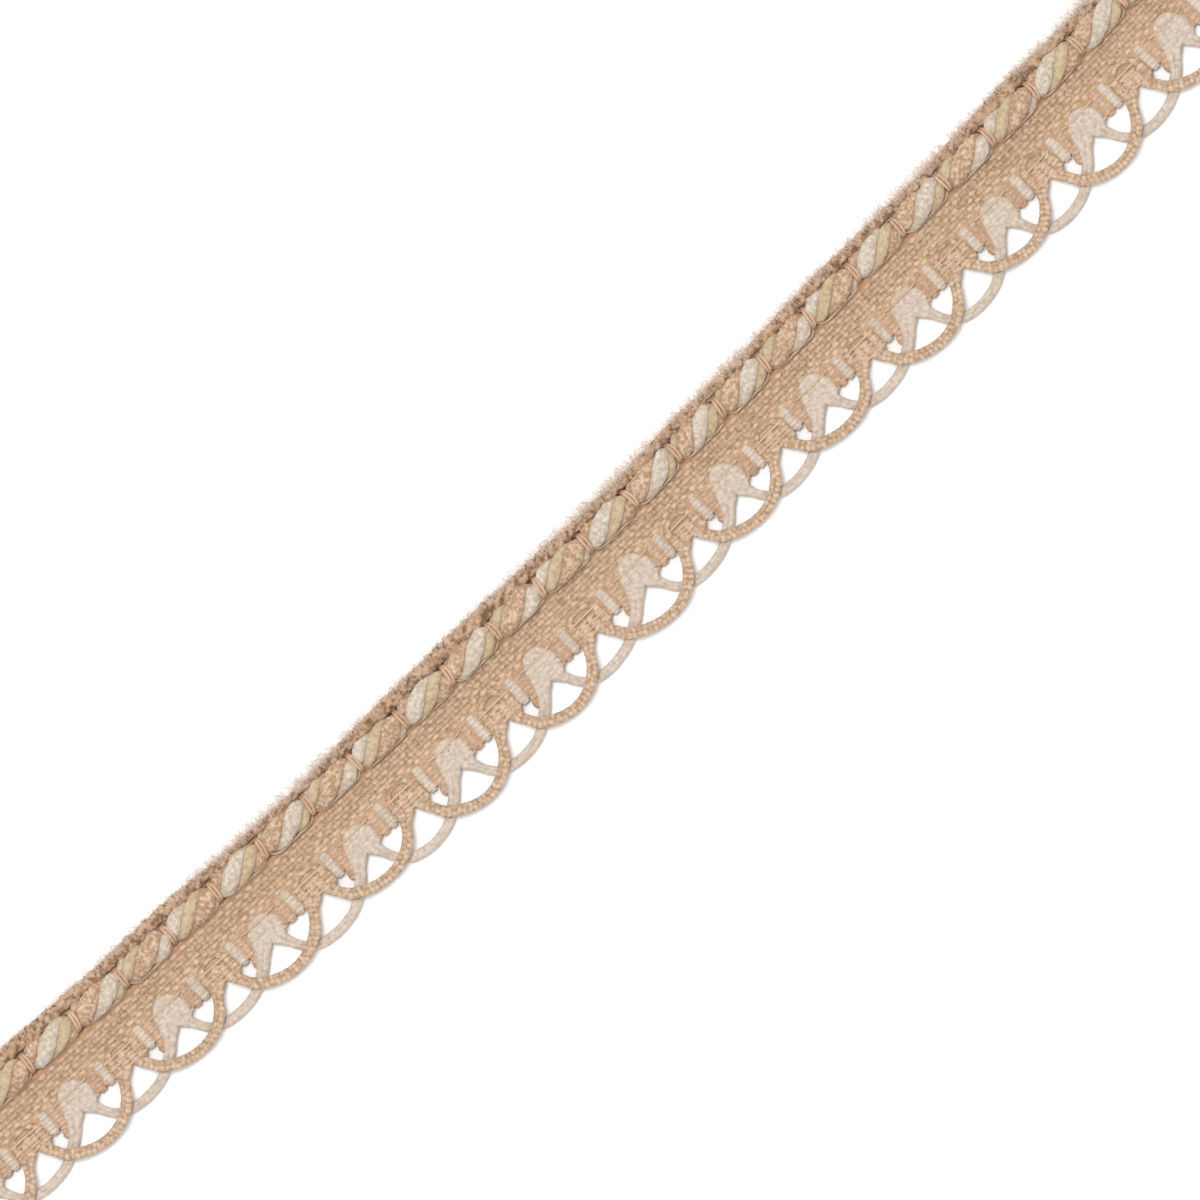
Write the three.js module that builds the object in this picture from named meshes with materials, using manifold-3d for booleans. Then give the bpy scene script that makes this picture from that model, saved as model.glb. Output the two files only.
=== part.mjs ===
// A straight length of scalloped gimp trim, lying flat on its back. Millimetres, +Z up.
// X runs along the trim, and +Y is the side of the heading cord. The origin is on the back face,
// at mid length, on the middle line of the woven band.
import * as THREE from 'three';
import { mergeVertices } from 'three/addons/utils/BufferGeometryUtils.js';
import Module from 'manifold-3d';

const wasm = await Module();
wasm.setup();

// Length and repeat. One repeat holds one ivory crown and one tan arch
const REPEAT = 13.84;
const REPEATS = 14;
const LENGTH = REPEAT * REPEATS;
const BOW_RADIUS = 2220;
const GAP = 0.3;

// Places across the trim, from the middle line of the band
const BAND_EDGE = -3.25;
const ZONE_EDGE = 0.75;
const CHANNEL_EDGE = 3.15;
const HEADING_MIDDLE = 5.0;
const EDGE_CORD_INSIDE = 6.85;
const EDGE_CORD_TIED_INSIDE = 7.15;
const EDGE_CORD_OUTSIDE = 8.12;
const GROUND_OUTSIDE = 7.9;

// Heights of the woven ground, and its warp rows, which show as ribs
const LOWER_TOP = 0.55;
const LOWER_VALLEY = 0.45;
const LOWER_ROWS = 4;
const UPPER_TOP = 1.15;
const UPPER_VALLEY = 0.95;
const UPPER_ROWS = 5;
const CHANNEL_TOP = 0.6;
const SHOULDER = 0.1;

// Heading cord: three twisted strands, drawn in under a binder twice in each repeat
const STRANDS = 3;
const CORNERS_PER_STRAND = 3;
const STRAND_SHOULDER = 0.76;
const HEADING_HALF_WIDTH = 1.55;
const HEADING_HALF_HEIGHT = 1.2;
const TIED_HALF_WIDTH = 1.15;
const TIED_HALF_HEIGHT = 0.85;
const HEADING_HEIGHT = CHANNEL_TOP + GAP + HEADING_HALF_HEIGHT;
const TIE_PITCH = REPEAT / 2;
const TIE_OFFSET = 5.4;
const TIE_REACH = 1.0;
const RINGS_PER_TIE = 7;

// Binder threads
const BINDER_WIDTH = 0.5;
const BINDER_THICKNESS = 0.3;
const BINDER_STEPS = 6;
const BINDER_FOOT = 0.3;
const BINDER_GAP = 0.42;

// Edge cord: an oval of two strands that turns once in EDGE_TURN
const EDGE_CORD_HALF_HEIGHT = 0.7;
const EDGE_CORD_SIDES = 6;
const EDGE_OVAL = 0.2;
const EDGE_TURN = 11;
const EDGE_RINGS_PER_TIE = 4;

// Ivory weft bars of the ground, one on each side of a crown
const BAR_OFFSET = 3.92;
const BAR_WIDTH = 1.0;
const BAR_TOP = 1.15;
const BAR_BOTTOM = 0.3;
const BAR_INSET = 0.15;

// Gimp cords: a pair of yarns side by side, spread in the band and close together outside it
const SPREAD = 0.86;
const OPENING = 0.66;
const TAN_SPREAD = 0.54;
const IVORY_SPREAD = 0.48;
const TAN_HALF_HEIGHT = 0.34;
const IVORY_HALF_HEIGHT = 0.32;
const SCALLOP_DEPTH = 3.9;
const PAIR = [[0, 0.7], [0.6, 1], [1, 0.1], [0.62, -1], [-0.62, -1], [-1, 0.1], [-0.6, 1]];

// One row for each repeat: how far its crown strays along, how far the band's edge strays, and
// how much shallower than the mean its two scallops hang
const LOOPS = [
  { along: 0.00, edge: 0.45, tan: 0.00, ivory: 0.30 },
  { along: -0.20, edge: 0.45, tan: -0.10, ivory: 0.45 },
  { along: -0.15, edge: 0.35, tan: 0.30, ivory: 0.60 },
  { along: -0.45, edge: 0.05, tan: 0.05, ivory: -0.40 },
  { along: -0.10, edge: 0.10, tan: 0.35, ivory: -0.50 },
  { along: -0.20, edge: -0.25, tan: -0.55, ivory: -0.20 },
  { along: -0.35, edge: -0.10, tan: -0.25, ivory: 0.10 },
  { along: 0.35, edge: 0.10, tan: -0.35, ivory: 0.35 },
  { along: 0.45, edge: 0.25, tan: 0.40, ivory: 0.40 },
  { along: 0.40, edge: 0.35, tan: 0.50, ivory: 0.50 },
  { along: 0.30, edge: 0.00, tan: 0.00, ivory: -0.45 },
  { along: 0.25, edge: -0.10, tan: 0.30, ivory: -0.55 },
  { along: 0.00, edge: 0.00, tan: -0.75, ivory: -0.25 },
  { along: 0.00, edge: -0.15, tan: 0.00, ivory: -0.25 },
];

// One row for each section of a cord in one repeat. along is from the crown's middle, out is
// from the band's edge, positive inside the band, and spread is the half width
const TAN_ROUTE = [
  { along: -6.92, out: 2.72, height: 1.22, spread: SPREAD },
  { along: -6.42, out: 2.52, height: 1.22, spread: SPREAD },
  { along: -5.97, out: 1.95, height: 1.22, spread: SPREAD },
  { along: -5.83, out: 1.10, height: 1.22, spread: SPREAD },
  { along: -5.95, out: 0.10, height: 1.28, spread: OPENING },
  { along: -5.50, out: -1.10, height: 1.36, spread: TAN_SPREAD },
  { along: -4.68, out: -2.15, height: 1.46, spread: TAN_SPREAD },
  { along: -3.30, out: -3.10, height: 1.44, spread: TAN_SPREAD },
  { along: -1.60, out: -3.72, height: 0.98, spread: TAN_SPREAD },
  { along: 0.00, out: -3.90, height: 0.90, spread: TAN_SPREAD },
  { along: 1.50, out: -3.62, height: 1.34, spread: TAN_SPREAD },
  { along: 2.85, out: -3.00, height: 1.42, spread: TAN_SPREAD },
  { along: 4.15, out: -2.05, height: 1.40, spread: TAN_SPREAD },
  { along: 5.20, out: -1.00, height: 1.34, spread: TAN_SPREAD },
  { along: 5.90, out: 0.10, height: 1.28, spread: OPENING },
  { along: 6.01, out: 1.10, height: 1.22, spread: SPREAD },
  { along: 6.10, out: 1.95, height: 1.22, spread: SPREAD },
  { along: 6.44, out: 2.52, height: 1.22, spread: SPREAD },
];
const IVORY_ROUTE = [
  { along: -1.12, out: 0.95, height: 1.20, spread: SPREAD },
  { along: -0.98, out: 1.85, height: 1.20, spread: SPREAD },
  { along: -0.52, out: 2.42, height: 1.20, spread: SPREAD },
  { along: 0.00, out: 2.60, height: 1.20, spread: SPREAD },
  { along: 0.52, out: 2.42, height: 1.20, spread: SPREAD },
  { along: 0.95, out: 1.85, height: 1.20, spread: SPREAD },
  { along: 1.02, out: 0.95, height: 1.20, spread: SPREAD },
  { along: 0.85, out: 0.00, height: 1.28, spread: OPENING },
  { along: 1.05, out: -1.10, height: 0.66, spread: IVORY_SPREAD },
  { along: 1.60, out: -2.10, height: 0.38, spread: IVORY_SPREAD },
  { along: 2.30, out: -3.00, height: 0.36, spread: IVORY_SPREAD },
  { along: 3.45, out: -3.65, height: 0.36, spread: IVORY_SPREAD },
  { along: 5.40, out: -3.95, height: 0.36, spread: IVORY_SPREAD },
  { along: 7.30, out: -3.72, height: 0.36, spread: IVORY_SPREAD },
  { along: 8.55, out: -3.30, height: 0.36, spread: IVORY_SPREAD },
  { along: 9.60, out: -2.60, height: 0.36, spread: IVORY_SPREAD },
  { along: 10.55, out: -1.55, height: 0.48, spread: IVORY_SPREAD },
  { along: 11.45, out: -0.45, height: 1.24, spread: OPENING },
];

// Turns of the heading cord's twist, counted from the ivory strand that lies on top at the
// second row. The twist is tighter for two turns near mid length
const TWIST = [
  { along: -97.0, turns: -10.47 },
  { along: -2.1, turns: 0 },
  { along: 17.3, turns: 2 },
  { along: 23.2, turns: 3 },
  { along: 30.6, turns: 4 },
  { along: 85.6, turns: 10 },
  { along: 97.0, turns: 11.25 },
];

// How far the edge cord's outside strays
const EDGE_STRAY = [
  { along: -76.0, stray: 0.05 },
  { along: -65.0, stray: 0.20 },
  { along: -54.5, stray: 0.25 },
  { along: -43.5, stray: -0.20 },
  { along: -21.8, stray: 0.00 },
  { along: -5.0, stray: 0.10 },
  { along: 7.8, stray: -0.20 },
  { along: 24.0, stray: 0.20 },
  { along: 46.0, stray: 0.15 },
  { along: 57.0, stray: -0.20 },
  { along: 68.0, stray: 0.15 },
  { along: 78.5, stray: 0.00 },
];

// A place on the trim: the whole length lies in a very gentle bow, its ends towards +Y
function place(along, across, height) {
  const slope = along / BOW_RADIUS;
  return new THREE.Vector3(along - across * slope, across + (along * slope) / 2, height);
}

function directionAlong(along) {
  return new THREE.Vector3(1, along / BOW_RADIUS, 0).normalize();
}

function mix(a, b, share) {
  return a + (b - a) * share;
}

// A table's column read in straight lines between its rows
function readAlong(rows, column, along) {
  const after = rows.findIndex((row) => row.along >= along);
  if (after === 0) return rows[0][column];
  if (after < 0) return rows[rows.length - 1][column];
  const low = rows[after - 1];
  const high = rows[after];
  return mix(low[column], high[column], (along - low.along) / (high.along - low.along));
}

function crownPlace(n) {
  return (n + 0.5 - REPEATS / 2) * REPEAT;
}

const STRAYS = LOOPS.map(({ along, edge }, n) => ({ along: crownPlace(n), shift: along, edge }));

function edgeAt(along) {
  return BAND_EDGE + readAlong(STRAYS, 'edge', along);
}

function nearestTie(along) {
  return TIE_OFFSET + Math.round((along - TIE_OFFSET) / TIE_PITCH) * TIE_PITCH;
}

// 1 under a binder, falling to 0 between two of them
function tiedShare(along) {
  const away = (along - nearestTie(along)) / TIE_REACH;
  return Math.exp(-away * away);
}

function closed(geometry) {
  geometry.deleteAttribute('normal');
  geometry.deleteAttribute('uv');
  return mergeVertices(geometry, 1e-5);
}

function movePoints(geometry, move) {
  const points = geometry.getAttribute('position');
  for (let i = 0; i < points.count; i += 1) {
    const spot = move(points.getX(i), points.getY(i), points.getZ(i));
    points.setXYZ(i, spot.x, spot.y, spot.z);
  }
  return geometry;
}

// A cylinder whose rings are moved onto a route. A ring has its middle, the direction to its
// right, its half sizes, and its corners in units of those, clockwise from the top
function sweep(rings) {
  const steps = rings.length - 1;
  const sides = rings[0].corners.length;
  const rod = closed(new THREE.CylinderGeometry(1, 1, steps, sides, steps));
  return movePoints(rod, (x, y, z) => {
    const step = Math.round(y + steps / 2);
    const { middle, right, corners, halfWidth, halfHeight } = rings[step];
    const spot = middle.clone();
    if (Math.hypot(x, z) < 0.5) return spot;
    const before = rings[Math.max(step - 1, 0)].middle;
    const after = rings[Math.min(step + 1, steps)].middle;
    const up = right.clone().cross(after.clone().sub(before)).normalize();
    const turn = Math.atan2(x, z) / (2 * Math.PI) + 1;
    const [sideways, upwards] = corners[Math.round(turn * sides) % sides];
    spot.addScaledVector(right, sideways * halfWidth);
    return spot.addScaledVector(up, upwards * halfHeight);
  });
}

function toSolid(geometry) {
  return new wasm.Manifold(new wasm.Mesh({
    numProp: 3,
    vertProperties: new Float32Array(geometry.getAttribute('position').array),
    triVerts: new Uint32Array(geometry.index.array),
  }));
}

function fromSolid(solid) {
  const mesh = solid.getMesh();
  const geometry = new THREE.BufferGeometry();
  geometry.setAttribute('position', new THREE.BufferAttribute(mesh.vertProperties, 3));
  geometry.setIndex(new THREE.BufferAttribute(mesh.triVerts, 1));
  return geometry;
}

// Ribs of warp from one place across to another, as corners of the ground's section
function ribs(from, to, rows, top, valley) {
  const width = (to - from) / rows;
  const corners = [];
  for (let i = 0; i < rows; i += 1) {
    corners.push(new THREE.Vector2(from + i * width, valley));
    corners.push(new THREE.Vector2(from + (i + 0.5) * width, top));
  }
  corners.push(new THREE.Vector2(to, valley));
  return corners;
}

function groundSheet() {
  const section = new THREE.Shape([
    new THREE.Vector2(BAND_EDGE, 0),
    ...ribs(BAND_EDGE, ZONE_EDGE - SHOULDER, LOWER_ROWS, LOWER_TOP, LOWER_VALLEY),
    ...ribs(ZONE_EDGE, CHANNEL_EDGE, UPPER_ROWS, UPPER_TOP, UPPER_VALLEY),
    new THREE.Vector2(CHANNEL_EDGE + SHOULDER, CHANNEL_TOP),
    new THREE.Vector2(GROUND_OUTSIDE, CHANNEL_TOP),
    new THREE.Vector2(GROUND_OUTSIDE, 0),
  ]);
  const sheet = closed(new THREE.ExtrudeGeometry(section, {
    depth: LENGTH,
    steps: REPEATS,
    bevelEnabled: false,
  }));
  return movePoints(sheet, (across, height, depth) => {
    const along = depth - LENGTH / 2;
    const share = THREE.MathUtils.clamp((ZONE_EDGE - across) / (ZONE_EDGE - BAND_EDGE), 0, 1);
    return place(along, across + (edgeAt(along) - BAND_EDGE) * share, height);
  });
}

// A bar of thick weft that stands on the lower zone
function weftBar(along) {
  const edge = edgeAt(along) + BAR_INSET;
  const reach = ZONE_EDGE + SHOULDER - edge;
  const bar = closed(new THREE.BoxGeometry(BAR_WIDTH, reach, BAR_TOP - BAR_BOTTOM));
  return movePoints(bar, (x, y, z) => (
    place(along + x, edge + reach / 2 + y, (BAR_TOP + BAR_BOTTOM) / 2 + z)
  ));
}

// An arch of binder thread over the heading cord, with both feet in the ground
function binder(along) {
  const halfSpan = TIED_HALF_WIDTH + BINDER_GAP + BINDER_THICKNESS / 2;
  const rise = TIED_HALF_HEIGHT + BINDER_GAP + BINDER_THICKNESS / 2;
  const stations = [[-halfSpan, BINDER_FOOT]];
  for (let i = 0; i <= BINDER_STEPS; i += 1) {
    const angle = Math.PI * (i / BINDER_STEPS);
    stations.push([-Math.cos(angle) * halfSpan, HEADING_HEIGHT + Math.sin(angle) * rise]);
  }
  stations.push([halfSpan, BINDER_FOOT]);
  return sweep(stations.map(([side, height]) => ({
    middle: place(along, HEADING_MIDDLE + side, height),
    right: directionAlong(along),
    corners: [[1, 1], [1, -1], [-1, -1], [-1, 1]],
    halfWidth: BINDER_WIDTH / 2,
    halfHeight: BINDER_THICKNESS / 2,
  })));
}

// Places at even steps between the two cut ends, with one at every binder
function stationsAlong(perTie) {
  const step = TIE_PITCH / perTie;
  const count = Math.ceil(LENGTH / step) + perTie;
  const first = nearestTie(-LENGTH / 2) - TIE_PITCH;
  const inner = Array.from({ length: count }, (_, i) => first + i * step)
    .filter((along) => Math.abs(along) < (LENGTH - step) / 2);
  return [-LENGTH / 2, ...inner, LENGTH / 2];
}

function groundBand() {
  const bars = STRAYS.flatMap(({ along, shift }) => [
    weftBar(along + shift - BAR_OFFSET),
    weftBar(along + shift + BAR_OFFSET),
  ]);
  const binders = stationsAlong(1).slice(1, -1).map(binder);
  const solid = [...bars, ...binders].reduce(
    (whole, piece) => whole.add(toSolid(piece)),
    toSolid(groundSheet()),
  );
  return fromSolid(solid);
}

// A cord that lies straight along the trim, from the ring that ringAt gives at each station
function straightCord(perTie, ringAt) {
  return sweep(stationsAlong(perTie).map((along) => {
    const { across, height, radiusAt, ...ring } = ringAt(along);
    const { x, y } = directionAlong(along);
    const corners = Array.from({ length: ring.sides }, (_, i) => {
      const angle = (i / ring.sides) * 2 * Math.PI;
      const [turned, radius] = radiusAt(angle, i);
      return [Math.sin(turned) * radius, Math.cos(turned) * radius];
    });
    return {
      ...ring, corners, middle: place(along, across, height), right: new THREE.Vector3(y, -x, 0),
    };
  }));
}

function headingCord() {
  return straightCord(RINGS_PER_TIE, (along) => {
    const tied = tiedShare(along);
    const turn = -2 * Math.PI * readAlong(TWIST, 'turns', along);
    return {
      sides: STRANDS * CORNERS_PER_STRAND,
      across: HEADING_MIDDLE,
      height: HEADING_HEIGHT,
      halfWidth: mix(HEADING_HALF_WIDTH, TIED_HALF_WIDTH, tied),
      halfHeight: mix(HEADING_HALF_HEIGHT, TIED_HALF_HEIGHT, tied),
      radiusAt: (angle, i) => [angle + turn, i % CORNERS_PER_STRAND === 0 ? 1 : STRAND_SHOULDER],
    };
  });
}

function edgeCord() {
  return straightCord(EDGE_RINGS_PER_TIE, (along) => {
    const inside = mix(EDGE_CORD_INSIDE, EDGE_CORD_TIED_INSIDE, tiedShare(along));
    const outside = EDGE_CORD_OUTSIDE + readAlong(EDGE_STRAY, 'stray', along);
    const turn = (2 * Math.PI * along) / EDGE_TURN;
    return {
      sides: EDGE_CORD_SIDES,
      across: (inside + outside) / 2,
      height: CHANNEL_TOP + GAP + EDGE_CORD_HALF_HEIGHT,
      halfWidth: (outside - inside) / 2,
      halfHeight: EDGE_CORD_HALF_HEIGHT,
      radiusAt: (angle) => [angle, 1 - EDGE_OVAL * Math.sin(angle + turn) ** 2],
    };
  });
}

// One continuous wave: its route, repeated and made uneven by the row of LOOPS of each repeat
function gimpCord(route, drop, halfHeight) {
  const stations = [];
  for (let n = -1; n <= REPEATS; n += 1) {
    const loop = LOOPS[THREE.MathUtils.clamp(n, 0, REPEATS - 1)];
    route.forEach((row) => {
      const along = crownPlace(n) + row.along;
      const edge = edgeAt(along);
      const scale = row.out > 0
        ? (ZONE_EDGE - edge) / (ZONE_EDGE - BAND_EDGE)
        : 1 - loop[drop] / SCALLOP_DEPTH;
      stations.push({ ...row, along, across: edge + row.out * scale });
    });
  }
  const kept = stations.filter(({ along }) => Math.abs(along) < LENGTH / 2 + 0.01);
  const middles = kept.map(({ along, across, height }) => (
    place(along + readAlong(STRAYS, 'shift', along), across, height)
  ));
  return sweep(kept.map(({ spread }, i) => {
    const before = middles[Math.max(i - 1, 0)];
    const after = middles[Math.min(i + 1, middles.length - 1)];
    return {
      middle: middles[i],
      right: new THREE.Vector3(after.y - before.y, before.x - after.x, 0).normalize(),
      corners: PAIR,
      halfWidth: spread,
      halfHeight,
    };
  }));
}

function named(name, geometry, color, roughness) {
  const material = new THREE.MeshStandardMaterial({ color, roughness, metalness: 0 });
  const mesh = new THREE.Mesh(geometry, material);
  mesh.name = name;
  return mesh;
}

const trim = new THREE.Group();
trim.add(
  named('ground_band', groundBand(), 0xc9a582, 0.9),
  named('heading_cord', headingCord(), 0xd8bd92, 0.7),
  named('edge_cord', edgeCord(), 0xb3907a, 0.95),
  named('tan_gimp_cord', gimpCord(TAN_ROUTE, 'tan', TAN_HALF_HEIGHT), 0xcda67c, 0.8),
  named('ivory_gimp_cord', gimpCord(IVORY_ROUTE, 'ivory', IVORY_HALF_HEIGHT), 0xe3d2c0, 0.75),
);

export default trim;
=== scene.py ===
"""Looks of a straight length of scalloped gimp trim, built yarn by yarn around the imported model.

Sizes are millimetres until a mesh is made. X runs along the trim, +Y is the heading cord's side,
and the origin is on the flat back, at mid length, on the middle line of the woven band.
"""

import math

import bpy
import numpy as np
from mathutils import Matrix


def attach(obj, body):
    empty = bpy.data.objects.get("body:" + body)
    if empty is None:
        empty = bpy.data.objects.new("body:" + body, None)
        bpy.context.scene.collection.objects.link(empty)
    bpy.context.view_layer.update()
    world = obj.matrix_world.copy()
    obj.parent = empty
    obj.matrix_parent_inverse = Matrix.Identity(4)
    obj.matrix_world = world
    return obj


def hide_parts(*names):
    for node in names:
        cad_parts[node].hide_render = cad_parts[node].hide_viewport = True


MM = 0.001
UP = np.array([0.0, 0.0, 1.0])

# Length and repeat, as in the model: one repeat holds one ivory crown and one tan arch
REPEAT = 13.84
REPEATS = 14
LENGTH = REPEAT * REPEATS
BOW_RADIUS = 2220

# Places across the trim, from the middle line of the band
BAND_EDGE = -3.25
ZONE_EDGE = 0.75
CHANNEL_EDGE = 3.15
HEADING_MIDDLE = 4.98
EDGE_CORD_INSIDE = 6.25
EDGE_CORD_TIED_INSIDE = 6.45
EDGE_CORD_OVER = 0.15
GROUND_OUTSIDE = 7.9

# Core of the woven ground: its heights and its net of squares. Its channel lies under the two
# straight cords, which hide it fully under a tie, and less between two; that hidden share gets
# the core's painted shade colour
CORE_LOW = 0.44
CORE_HIGH = 0.6
LOWER_CORE_HIGH = 0.84
CHANNEL_LOW = 0.1
CHANNEL_TOP = 0.6
CORE_INSET = 0.3
CORE_RELIEF = 0.05
CORE_STEP = 0.692
LOWER_SQUARES = 4
UPPER_SQUARES = 6
CHANNEL_SQUARES = 18
EDGE_TOLERANCE = 0.01
COVERED_BETWEEN_TIES = 0.3

# Ridges of the core along both sides of the heading cord
RIDGE_REACH = 0.35
OUTER_RIDGE_AT = 6.25
OUTER_RIDGE = 0.95
INNER_RIDGE = 0.45

# Plain weave of the upper zone. loose is how unevenly its yarns rise and fall
WEAVE_MIDDLE = 0.58
WEAVE_LOOSE = 0.4
WEAVE_WIDTH_STRAY = 0.15
WARP_PITCH = 0.535
WARP_ROWS = 8
WARP_SWING = 0.14
WARP_HALF_WIDTH = 0.27
WARP_HALF_HEIGHT = 0.16
WARP_STEPS_PER_WEFT = 4
WARP_WANDER = 0.04
WARP_SIDEWAYS = 0.15
WEFTS_PER_REPEAT = 20
WEFT_PITCH = REPEAT / WEFTS_PER_REPEAT
WEFTS = WEFTS_PER_REPEAT * REPEATS
WEFT_SWING = 0.13
WEFT_HALF_WIDTH = 0.33
WEFT_HALF_HEIGHT = 0.15
WEFT_STRAY = 0.13
WEFT_DROP = 0.04
WEFT_LEAN = 0.03
WEFT_WANDER = 0.05
WEFT_FIRST_ROW = -0.9
WEFT_LAST_ROW = WARP_ROWS - 0.4
WEFT_ROW_STEP = 0.25

# Lower zone: thick columns of weft over thin warps. The thin warps come up over the tan arches
# and over the edges of the crowns
COLUMNS_PER_REPEAT = 12
COLUMN_PITCH = REPEAT / COLUMNS_PER_REPEAT
COLUMN_TOP = 3.1
THIN_ROWS = 6
THIN_PITCH = COLUMN_TOP / THIN_ROWS
THIN_HALF_WIDTH = 0.13
THIN_HALF_HEIGHT = 0.09
THIN_MIDDLE = 0.66
THIN_SWING = 0.4
THIN_STEPS_PER_COLUMN = 5
THIN_WANDER = 0.04
THIN_UNDER = -0.8
CROWN_TIE_ROW = 5
CROWN_TIE_OVER = 1.1
CROWN_TIE_DROP = 0.2
CROWN_REACH = 2.4
CROWN_EDGE = 2.05
CROWN_EDGE_TEETH = 0.42
CROWN_EDGE_FULL_ROWS = 2
CROWN_EDGE_NARROWS = 0.2
TAN_ARCH_REACH = 2.2
TAN_ARCH_LEGS = 1.15
TAN_ARCH_OVER = 0.9
COLUMN_MIDDLE = 0.72
COLUMN_SWING = 0.04
COLUMN_HALF_WIDTH = 0.64
COLUMN_HALF_HEIGHT = 0.3
COLUMN_FOOT = 0.02
COLUMN_HEAD = COLUMN_TOP + 0.15
COLUMN_RINGS_PER_MM = 10
COLUMN_TAPER = 0.25
COLUMN_END_SIZE = 0.5
COLUMN_WANDER = 0.05
BAR_COLUMN = 3.5
PLAIN_COLUMN = 2.46
PLAIN_COLUMN_TAIL = 1.2
TAIL_LEAN = 0.36
TAIL_FALL = 0.26

# Arches of the gimp cords in the band, from the foot to the top. out is from the band's edge,
# and half_width is the yarn's own
CROWN_WIDE_ARCH = [
    {"along": 1.52, "out": 0.35, "half_width": 0.68},
    {"along": 1.46, "out": 1.40, "half_width": 0.66},
    {"along": 1.36, "out": 2.15, "half_width": 0.62},
    {"along": 1.08, "out": 2.60, "half_width": 0.54},
    {"along": 0.80, "out": 3.05, "half_width": 0.50},
    {"along": 0.00, "out": 3.30, "half_width": 0.50},
]
CROWN_SMALL_ARCH = [
    {"along": 0.50, "out": 0.35, "half_width": 0.70},
    {"along": 0.48, "out": 1.40, "half_width": 0.70},
    {"along": 0.42, "out": 2.20, "half_width": 0.64},
    {"along": 0.00, "out": 2.82, "half_width": 0.58},
]
CROWN_LEAN = 0.3
TAN_WIDE_ARCH = [
    {"along": 1.62, "out": 0.35, "half_width": 0.66},
    {"along": 1.64, "out": 1.40, "half_width": 0.64},
    {"along": 1.66, "out": 2.10, "half_width": 0.52},
    {"along": 1.44, "out": 2.70, "half_width": 0.40},
    {"along": 0.86, "out": 3.12, "half_width": 0.32},
    {"along": 0.00, "out": 3.26, "half_width": 0.32},
]
TAN_SMALL_ARCH = [
    {"along": 0.60, "out": 0.40, "half_width": 0.62},
    {"along": 0.56, "out": 1.20, "half_width": 0.66},
    {"along": 0.44, "out": 1.60, "half_width": 0.58},
    {"along": 0.00, "out": 1.85, "half_width": 0.50},
]
ARCH_SPRING = 1.4
TAN_ARCH_STRAY = 0.12

# Yarns of the gimp cords
GIMP_BAND_HALF_HEIGHT = 0.22
GIMP_BAND_MIDDLE = 0.86
GIMP_RIB = 0.035
SCALLOP_DEPTH = 3.9
GIMP_STEP = 0.12
GIMP_PLY_LAY = 1.3
FEWEST_RINGS = 8

# Heading cord, of three strands packed in an oval. A strand's centre and size are shares of it
STRAND_CENTRE = 0.34
STRAND_SIZE = 0.66
STRAND_CORNERS = 17
STRAND_STEP = 0.12
# Painted shade on a strand's two sides and under the ties
STRAND_SIDE_SHADE = 0.35
STRAND_TIE_SHADE = 0.15
HEADING_HALF_WIDTH = 1.66
HEADING_HALF_HEIGHT = 1.2
TIED_HALF_WIDTH = 0.98
TIED_HALF_HEIGHT = 0.85
HEADING_HEIGHT = CHANNEL_TOP - 0.05 + HEADING_HALF_HEIGHT
TIE_PITCH = REPEAT / 2
TIE_OFFSET = 5.4
TIE_REACH = 0.74

# Binder threads, two over each tie
BINDER_HALF_WIDTH = 0.19
BINDER_HALF_HEIGHT = 0.15
BINDER_REACH = TIED_HALF_WIDTH + 0.2
BINDER_RISE = TIED_HALF_HEIGHT + 0.13
BINDER_FOOT = CHANNEL_TOP - 0.3
BINDER_KNEE = CHANNEL_TOP + 0.5
BINDER_LEAN = (-0.05, 0.2)
BINDER_BOW = (0.1, 0.35)
BINDER_SPREAD = (0.16, 0.24)
BINDER_POINTS = 18
BINDER_STEP = 0.12

# Thin filament beside the heading cord
FILAMENT_RADIUS = 0.15
FILAMENT_STEP = 0.15
FILAMENT_INSET = 0.08
FILAMENT_STRAY = 0.14
FILAMENT_DROP = 0.3

# Edge cord. Its plies' places and sizes are shares of it
EDGE_CORD_HALF_HEIGHT = 0.7
EDGE_CORD_HEIGHT = CHANNEL_TOP + 0.25 + EDGE_CORD_HALF_HEIGHT
EDGE_STEP = 0.13
EDGE_PLIES = 3
EDGE_LAY = 4.1
EDGE_PLY_ACROSS = 0.4
EDGE_PLY_UP = 0.3
EDGE_PLY_SIZE = 0.7

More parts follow.
